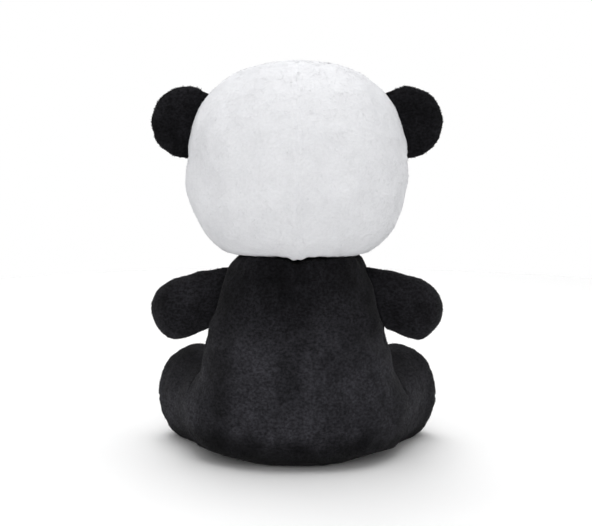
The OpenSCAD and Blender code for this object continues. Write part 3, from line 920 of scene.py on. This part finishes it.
def pad_form(path, place, slant=0.0, hollow=0.0, steps=48):
    """A pad along +X with half-height and half-thickness at each station, put in place by place(point)."""
    tip = path[-1][0]
    rings = []
    for u, h, t in path:
        if h < 0.6:
            rings.append([place(np.array([u, 0, 0]))])
            continue
        ring = []
        for a in np.linspace(0, 2 * math.pi, steps + 1)[:-1]:
            z = h * math.sin(a)
            fade = min(1.0, 1 - u / tip)
            x = u + (hollow * math.cos(a) ** 2 - slant * z) * fade
            ring.append(place(np.array([x, t * math.cos(a), z])))
        rings.append(ring)
    return loft(rings)


def limb_place(mid, side, droop, yaw=0.0):
    """A function that puts points of a limb drawn along +X in place at mid, mirrored on the right side."""

    def place(p):
        q = turned(turned(p, "Y", droop), "Z", -yaw)
        q = np.array([abs(mid[0]), mid[1], mid[2]]) + q
        q[0] *= side
        return q

    return place


def heading(place, way=(1.0, 0, 0)):
    """Where way, a direction in the limb as drawn, points once the limb is in place. Along +X is outward."""
    return place(np.array(way)) - place(np.zeros(3))


def arm_place(side):
    return limb_place(arm_mid(side), side, ARM_DROOP, ARM_YAW)


def ear_place(side):
    return limb_place(ear_mid(side), side, -EAR_LEAN)


def build_arm(side):
    path = []
    for u in np.linspace(-7, ARM_LEN, 120):
        e = math.sqrt(max(0, 1 - (max(0, u - ARM_LEN + 19) / 19) ** 2))
        h = (ARM_ROOT + (ARM_H / 2 - ARM_ROOT) * swell(u / 18)) * e * (1 + 0.08 * min(u + 3, 0))
        t = (7.5 + (ARM_T / 2 - 7.5) * swell((u + 4) / 22)) * e
        path.append((u, h, t))
    path[-1] = (ARM_LEN, 0, 0)
    path = even(path, 2.4)
    v, f = pad_form(path, arm_place(side), slant=ARM_SLANT)
    ob = new_object(f"arm_cover_{SIDE[side]}", v, f)
    pos, out = arm_mid(side), heading(arm_place(side))
    pad(ob, cell=2.8, slack=1.0, held=lambda co: (co - pos) @ out < 3, cap=1.8, levels=2, off=-0.3)

    def push(co, n):
        d = waves(co, 20, 41 + side) * 0.3 + waves(co, 9, 43 + side) * 0.12
        rel = co - pos
        u = rel @ out
        edge = near(rel @ np.cross(out, [0, 0, 1.0]), 1.3)
        d -= 0.5 * edge * (u > 4)
        d += 0.2 * np.sin(rel[:, 2] / 2.4) * near(u - 6, 6)
        return d

    sculpt(ob, push)
    paint(ob, BLACK)
    return ob


def build_ear(side):
    end = EAR_OUT + EAR_R
    path = []
    for u in np.linspace(-6, end, 120):
        h = math.sqrt(max(0, EAR_R**2 - (u - EAR_OUT) ** 2))
        if u < 0:
            h = math.sqrt(EAR_R**2 - EAR_OUT**2)
        e = math.sqrt(max(0, 1 - (max(0, u - end * 0.45) / (end * 0.55)) ** 2))
        t = (3.6 + (EAR_T / 2 - 3.6) * swell((u + 1) / 11)) * e
        path.append((u, h, t))
    path[-1] = (end, 0, 0)
    path = even(path, 1.8)
    v, f = pad_form(path, ear_place(side), hollow=1.5)
    ob = new_object(f"ear_cover_{SIDE[side]}", v, f)
    pos, place = ear_mid(side), ear_place(side)
    out, upright = heading(place), heading(place, (0, 0, 1.0))
    pad(ob, cell=2.0, slack=0.6, held=lambda co: (co - pos) @ out < 3, cap=1.2, levels=1, off=-0.3)

    def push(co, n):
        rel = co - pos
        u = rel @ out
        along = rel @ upright
        d = waves(co, 14, 51 + side) * 0.3
        # The ear cups a little: a shallow upright hollow in its middle, and a firm rim.
        d -= 1.5 * near((u - 8) / 7, 1) * near(along / 13, 1)
        d += 0.3 * np.sin(along / 1.9) * near(u - 3, 3.5)
        return d

    sculpt(ob, push)
    paint(ob, BLACK)
    return ob


def fix_normals(ob):
    """Turns the faces outward if the form was drawn inside out."""
    me = ob.data
    co = coords(me)
    vol = 0.0
    for p in me.polygons:
        v = [co[i] for i in p.vertices]
        for k in range(1, len(v) - 1):
            vol += np.dot(v[0], np.cross(v[k], v[k + 1]))
    if vol < 0:
        me.flip_normals()


# ---------- face ----------

EYE_LOW, EYE_HIGH = mm_box("eye_left")
EYE_X, EYE_Z = 26.0, (EYE_LOW[2] + EYE_HIGH[2]) / 2
MUZZLE_LOW, MUZZLE_HIGH = mm_box("muzzle_panel")
MUZZLE_Z = (MUZZLE_LOW[2] + MUZZLE_HIGH[2]) / 2
MUZZLE_RX = MUZZLE_HIGH[0]
MUZZLE_RZ = (MUZZLE_HIGH[2] - MUZZLE_LOW[2]) / 2
MUZZLE_OUT = 12.0
NOSE_Z = MUZZLE_Z + 7
NOSE_HALF, NOSE_HALF_Z = 8.6, 5.6
NOSE_STITCHES = 29
MOUTH_HALF = 12
PATCH_RX, PATCH_RZ, PATCH_TILT = 13.0, 17.0, math.radians(30)


def hit_front(tree, x, z):
    """Where a line straight back from the front at x, z meets the surface, and its normal."""
    p, n, _, _ = tree.ray_cast(Vector((x, -160, z)), Vector((0, 1, 0)))
    return (np.array(p), np.array(n)) if p else (np.array([x, HEAD_Y, z]), np.array([0, -1.0, 0]))


def dome(name, tree, spot, out, sink, rings=14, steps=56):
    """A padded piece on a surface. spot(s, a) gives x, z; out(s) is how far it stands out at share s."""
    front, back = [], []
    for i in range(rings + 1):
        s = math.sin(math.pi / 2 * i / rings)
        row_f, row_b = [], []
        for j in range(1 if i == 0 else steps):
            x, z = spot(s, 2 * math.pi * j / steps)
            p, n = hit_front(tree, x, z)
            row_f.append(tuple(p + n * (out(s) - 0.2 * (i == rings))))
            row_b.append(tuple(p - n * sink))
        front.append(row_f)
        back.append(row_b)
    v, f = loft(back + list(reversed(front)))
    ob = new_object(name, v, f)
    fix_normals(ob)
    return ob


def build_patch(side, tree):
    tilt = PATCH_TILT * side

    def spot(s, a):
        p, q = s * PATCH_RX * math.cos(a), s * PATCH_RZ * math.sin(a)
        x = (EYE_X + 1) * side + p * math.cos(tilt) - q * math.sin(tilt)
        return x, EYE_Z - 1 + p * math.sin(tilt) + q * math.cos(tilt)

    def out(s):
        return 0.5 + 1.5 * math.sqrt(max(0, 1 - s**3))

    ob = dome(f"eye_patch_cover_{SIDE[side]}", tree, spot, out, 1.0)
    paint(ob, BLACK)
    return ob


def build_muzzle(tree):
    def spot(s, a):
        return s * MUZZLE_RX * math.cos(a), MUZZLE_Z + s * MUZZLE_RZ * math.sin(a)

    def out(s):
        return MUZZLE_OUT * max(0, 1 - s * s) ** (1 / 1.7)

    ob = dome("muzzle_cover", tree, spot, out, 2.0, rings=18, steps=64)
    subdivide(ob, 1)

    def push(co, n):
        d = waves(co, 14, 61) * 0.3
        d -= 0.8 * near(co[:, 0], 1.2) * (co[:, 2] < NOSE_Z - 3) * (n[:, 1] < 0)
        return d

    sculpt(ob, push)
    paint(ob, WHITE)
    return ob


def tube(path, radius, sides=6):
    """Rings round a path of points; the radius may differ at each point."""
    p = np.array(path, float)
    r = np.broadcast_to(radius, (len(p),))
    d = np.gradient(p, axis=0)
    d /= np.linalg.norm(d, axis=1, keepdims=True)
    ref = np.array([0.3, 1.0, 0.2])
    turns = np.linspace(0, 2 * math.pi, sides + 1)[:-1]
    rings = []
    for k in range(len(p)):
        a = np.cross(d[k], ref)
        a /= np.linalg.norm(a)
        b = np.cross(d[k], a)
        rings.append([tuple(p[k] + r[k] * (math.cos(t) * a + math.sin(t) * b)) for t in turns])
    return [[tuple(p[0])], *rings, [tuple(p[-1])]]


def join_lofts(name, parts):
    verts, faces = [], []
    for rings in parts:
        v, f = loft(rings)
        base = len(verts)
        verts.extend(v)
        faces.extend(tuple(i + base for i in q) for q in f)
    return new_object(name, verts, faces)


def build_nose(tree):
    rng = np.random.default_rng(71)
    parts = []
    for i in range(NOSE_STITCHES):
        s = -1 + 2 * (i + 0.5) / NOSE_STITCHES
        x = NOSE_HALF * s
        half = NOSE_HALF_Z * math.sqrt(1 - s * s) ** 0.8
        top = NOSE_Z + half * 0.8 + rng.uniform(-0.25, 0.25)
        low = NOSE_Z - half - 1.2 * (1 - abs(s)) + rng.uniform(-0.25, 0.25)
        pts = []
        for t in np.linspace(0, 1, 12):
            z = top + (low - top) * t
            p, n = hit_front(tree, x + rng.uniform(-0.03, 0.03), z)
            crown = 1.7 * math.sqrt(max(0, 1 - s * s)) * math.sin(math.pi * t) ** 0.5
            pts.append(p + n * (crown + (0.25 if 0 < t < 1 else -0.6)))
        parts.append(tube(pts, 0.40))
    ob = join_lofts("nose_stitching", parts)
    fix_normals(ob)
    paint(ob, THREAD)
    return ob


def build_mouth(tree):
    low = NOSE_Z - 6.0
    lines = [[(0, low - 6.5 * t) for t in np.linspace(0, 1, 40)]]
    for way in (1, -1):
        smile = [(way * MOUTH_HALF * t, low - 6.3 - 4 * math.sin(math.pi * t)) for t in np.linspace(0, 1, 60)]
        lines.append(smile)
    parts = []
    for line in lines:
        even_line = even(line, 0.25)
        step = 11
        for a in range(0, len(even_line) - 3, step - 1):
            piece = even_line[a : a + step + 1]
            if len(piece) < 4:
                continue
            pts = []
            for k, (x, z) in enumerate(piece):
                p, n = hit_front(tree, x, z)
                pts.append(p + n * (-0.25 + 0.75 * math.sin(math.pi * k / (len(piece) - 1)) ** 0.6))
            for strand in (-1, 1):
                twist = [
                    q + np.array([0.22 * strand * math.cos(k * 0.9), 0, 0.22 * strand * math.sin(k * 0.9)])
                    for k, q in enumerate(pts)
                ]
                parts.append(tube(twist, 0.36))
    ob = join_lofts("mouth_stitching", parts)
    fix_normals(ob)
    paint(ob, THREAD)
    return ob


# ---------- the toy ----------

NECK_BEND = {"start": (0, 0, (NECK_Z + 1) * MM), "end": (0, 0, 0.165)}
BODY_BEND = {"start": (0, 0, 0.095), "end": (0, 0, (NECK_Z - 1) * MM)}


def limb_bend(origin, out, start, end):
    return {
        "start": tuple((origin + out * start) * MM),
        "end": tuple((origin + out * end) * MM),
    }


head = build_head()
body = build_body()
legs = {s: build_leg(s) for s in (LEFT, RIGHT)}
arms = {s: build_arm(s) for s in (LEFT, RIGHT)}
ears = {s: build_ear(s) for s in (LEFT, RIGHT)}
head_tree = tree_of(head)
patches = {s: build_patch(s, head_tree) for s in (LEFT, RIGHT)}
muzzle = build_muzzle(head_tree)
muzzle_tree = tree_of(muzzle)
nose = build_nose(muzzle_tree)
mouth = build_mouth(muzzle_tree)

piles = {}


def above_neck(p):
    keep = np.ones(len(p))
    keep[p[:, 2] < NECK_Z + 3.0 + NECK_RISE * np.clip(p[:, 1] / NECK_RISE_Y, 0, 1)] = 0
    return keep


def above_floor(p):
    return (p[:, 2] > 2.5).astype(float)


piles["head"] = pile("head_pile", head, WHITE, per_mm2=0.85, length=2.6, width=1.3, lift=0.06, seed=101,
    keep=above_neck, loose_share=0.012)
piles["muzzle"] = pile("muzzle_pile", muzzle, WHITE, per_mm2=1.0, length=1.8, width=1.0, lift=0.12, seed=102,
    comb=lambda p: np.stack([p[:, 0] * 0.06, np.full(len(p), 0.3), np.full(len(p), -0.3)], 1),
    keep=lambda p: (np.hypot(p[:, 0] / 9.5, (p[:, 2] - NOSE_Z) / 7.0) > 1).astype(float))


def body_comb(p):
    way = np.tile([0.0, 0.0, -1.0], (len(p), 1))
    way[:, 2] *= np.clip((p[:, 2] - 6) / 10, 0.02, 1)
    way[:, 2] += 2.2 * np.clip((p[:, 2] - (NECK_Z - 7)) / 5, 0, 1)
    return way


piles["body_black"] = pile("body_pile_black", body, BLACK, per_mm2=1.2, length=2.5, width=1.0, lift=0.11,
    seed=103, comb=body_comb,
    keep=lambda p: above_floor(p) * ~in_belly(p) * (np.hypot(p[:, 0], p[:, 1]) > 30))
piles["body_white"] = pile("body_pile_white", body, WHITE, per_mm2=0.85, length=2.6, width=1.5, lift=0.1,
    seed=104,
    keep=lambda p: above_floor(p) * in_belly(p))
for s in (LEFT, RIGHT):
    hip, out, across = leg_frame(s)
    piles["leg", s] = pile(f"leg_pile_{SIDE[s]}", legs[s], LEG_BLACK_SHADED, per_mm2=1.6, length=2.3, width=0.9,
        lift=0.1, seed=105 + s,
        comb=lambda p, o=out: np.tile(o * 0.4 + [0, 0, -1.0], (len(p), 1)),
        keep=lambda p, h=hip, o=out: above_floor(p) * ((p - h) @ o > -6))
    piles["arm", s] = pile(f"arm_pile_{SIDE[s]}", arms[s], BLACK, per_mm2=1.7, length=2.2, width=0.9,
        lift=0.1, seed=108 + s,
        comb=(s * 0.8, -0.2, -0.5), keep=lambda p, s=s: (p[:, 0] * s > 44).astype(float))
    piles["ear", s] = pile(f"ear_pile_{SIDE[s]}", ears[s], BLACK, per_mm2=1.7, length=2.2, width=0.9,
        lift=0.12, seed=111 + s,
        comb=(s * 0.8, 0, 0.4), keep=lambda p, s=s: (p[:, 0] * s > 56).astype(float))
    piles["patch", s] = pile(f"eye_patch_pile_{SIDE[s]}", patches[s], BLACK, per_mm2=1.0, length=1.8,
        width=1.0, lift=0.15, seed=114 + s,
        comb=(s * 0.5, 0, -0.6),
        keep=lambda p, s=s: (np.hypot(p[:, 0] - s * EYE_X, p[:, 2] - EYE_Z) > 6.2).astype(float))

# ---------- what moves with what ----------

for ob in (head, piles["head"], muzzle, piles["muzzle"], nose, mouth, *patches.values(),
           piles["patch", LEFT], piles["patch", RIGHT]):
    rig.blend(ob, "neck", "head", **NECK_BEND)
for ob in (body, piles["body_black"], piles["body_white"]):
    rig.blend(ob, "torso", "neck", **BODY_BEND)
for s in (LEFT, RIGHT):
    hip, out, across = leg_frame(s)
    for ob in (legs[s], piles["leg", s]):
        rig.blend(ob, "torso", f"leg_{SIDE[s]}", **limb_bend(hip, out, 0, 28))
    out = heading(arm_place(s))
    for ob in (arms[s], piles["arm", s]):
        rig.blend(ob, "torso", f"arm_{SIDE[s]}", **limb_bend(arm_mid(s), out, -2, 14))
    out = heading(ear_place(s))
    for ob in (ears[s], piles["ear", s]):
        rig.blend(ob, "head", f"ear_{SIDE[s]}", **limb_bend(ear_mid(s), out, -1, 9))

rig.replaces(head, "head_back_left", "head_back_right", "face_panel", "head_filling")
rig.replaces(body, "body_back_left", "body_back_right", "chest_panel", "belly_panel", "seat_panel",
            "body_filling", "pellet_bag", "neck_filling")
for s in (LEFT, RIGHT):
    n = SIDE[s]
    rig.replaces(legs[s], f"leg_top_{n}", f"leg_bottom_{n}", f"foot_sole_{n}", f"leg_filling_{n}")
    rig.replaces(arms[s], f"arm_back_{n}", f"arm_front_{n}", f"arm_filling_{n}")
    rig.replaces(ears[s], f"ear_back_{n}", f"ear_front_{n}", f"ear_filling_{n}")
    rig.replaces(patches[s], f"eye_patch_{n}")
    paint(frame["nodes"][f"eye_{n}"], EYE)
    paint(frame["nodes"][f"eye_washer_{n}"], WASHER)
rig.replaces(muzzle, "muzzle_panel", "muzzle_filling")
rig.replaces(nose, "nose_embroidery")
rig.replaces(mouth, "mouth_embroidery")

for ob, fill in ((head, 0.9), (body, 0.85), (muzzle, 0.9), *((legs[s], 0.85) for s in (LEFT, RIGHT)),
                 *((arms[s], 0.8) for s in (LEFT, RIGHT)), *((ears[s], 0.6) for s in (LEFT, RIGHT)),
                 *((patches[s], 0.3) for s in (LEFT, RIGHT))):
    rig.padded(ob, fill=fill)

for ob, name in ((head, "white_plush"), (piles["head"], "white_plush"), (muzzle, "white_plush"),
                 (piles["muzzle"], "white_plush"), (piles["body_white"], "white_plush"),
                 (body, "black_plush"), (piles["body_black"], "black_plush"),
                 (nose, "black_thread"), (mouth, "black_thread"),
                 *((x[s], "black_plush") for x in (legs, arms, ears, patches) for s in (LEFT, RIGHT)),
                 *((piles[k, s], "black_plush") for k in ("leg", "arm", "ear", "patch")
                   for s in (LEFT, RIGHT))):
    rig.slot(ob, name)

# ---------- floor, light and camera ----------


def floor_material():
    mat, nt, p = node_material("pale_floor")
    p.inputs["Base Color"].default_value = (0.93, 0.93, 0.93, 1)
    p.inputs["Roughness"].default_value = 0.8
    return mat


FLOOR_R, FLOOR_Z, FLOOR_SIDES = 750, -0.3, 96
turn = np.linspace(0, 2 * math.pi, FLOOR_SIDES + 1)[:-1]
edge = [(FLOOR_R * math.cos(a), FLOOR_R * math.sin(a), FLOOR_Z) for a in turn]
floor = new_object("floor", edge, [tuple(range(FLOOR_SIDES))], smooth=False)
paint(floor, floor_material())
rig.stage(floor)

scene = bpy.context.scene
scene.view_settings.view_transform = "Standard"
world = bpy.data.worlds.new("studio")
world.use_nodes = True
sky = world.node_tree
direction = sky.nodes.new("ShaderNodeSeparateXYZ")
sky.links.new(sky.nodes.new("ShaderNodeTexCoord").outputs["Generated"], direction.inputs["Vector"])
# Full strength at the horizon, half of it overhead.
strength = map_range(sky, direction.outputs["Z"], 1.0, 0.5, 0.06, 0.3)
sky.links.new(strength, sky.nodes["Background"].inputs["Strength"])
sky.nodes["Background"].inputs["Color"].default_value = (1, 1, 1, 1)
scene.world = world


def area_light(name, place, aim, size, power):
    data = bpy.data.lights.new(name, "AREA")
    data.shape, data.size, data.energy = "DISK", size, power
    ob = bpy.data.objects.new(name, data)
    ob.location = place
    ob.rotation_euler = (Vector(aim) - Vector(place)).to_track_quat("-Z", "Y").to_euler()
    scene.collection.objects.link(ob)


TOY_MIDDLE = (0, 0, 0.12)
area_light("overhead", (-0.05, 0.1, 1.5), TOY_MIDDLE, size=1.5, power=14)
area_light("behind", (0.1, 1.3, 0.9), TOY_MIDDLE, size=1.2, power=2.5)
area_light("front", (0.3, -0.9, 1.4), TOY_MIDDLE, size=1.2, power=6)

AIM_Z = 0.1238
CAMERA_RISE, CAMERA_REACH = math.radians(9), 0.878
CAMERA_SHIFT = -1 / 592     # the toy stands a hair off the middle of the frame
cam = bpy.data.cameras.new("camera")
cam.lens, cam.sensor_width = 85, 36
cam.shift_x = CAMERA_SHIFT
camera = bpy.data.objects.new("camera", cam)
aim = Vector((0, 0, AIM_Z))
camera.location = aim + Vector((0, math.cos(CAMERA_RISE), math.sin(CAMERA_RISE))) * CAMERA_REACH
camera.rotation_euler = (aim - camera.location).to_track_quat("-Z", "Y").to_euler()
scene.collection.objects.link(camera)
scene.camera = camera

with open("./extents.json", "w") as out_file:
    json.dump({"cad": [list(map(float, p)) for p in cad_box], "visual": [list(map(float, p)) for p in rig.bounds()]}, out_file)
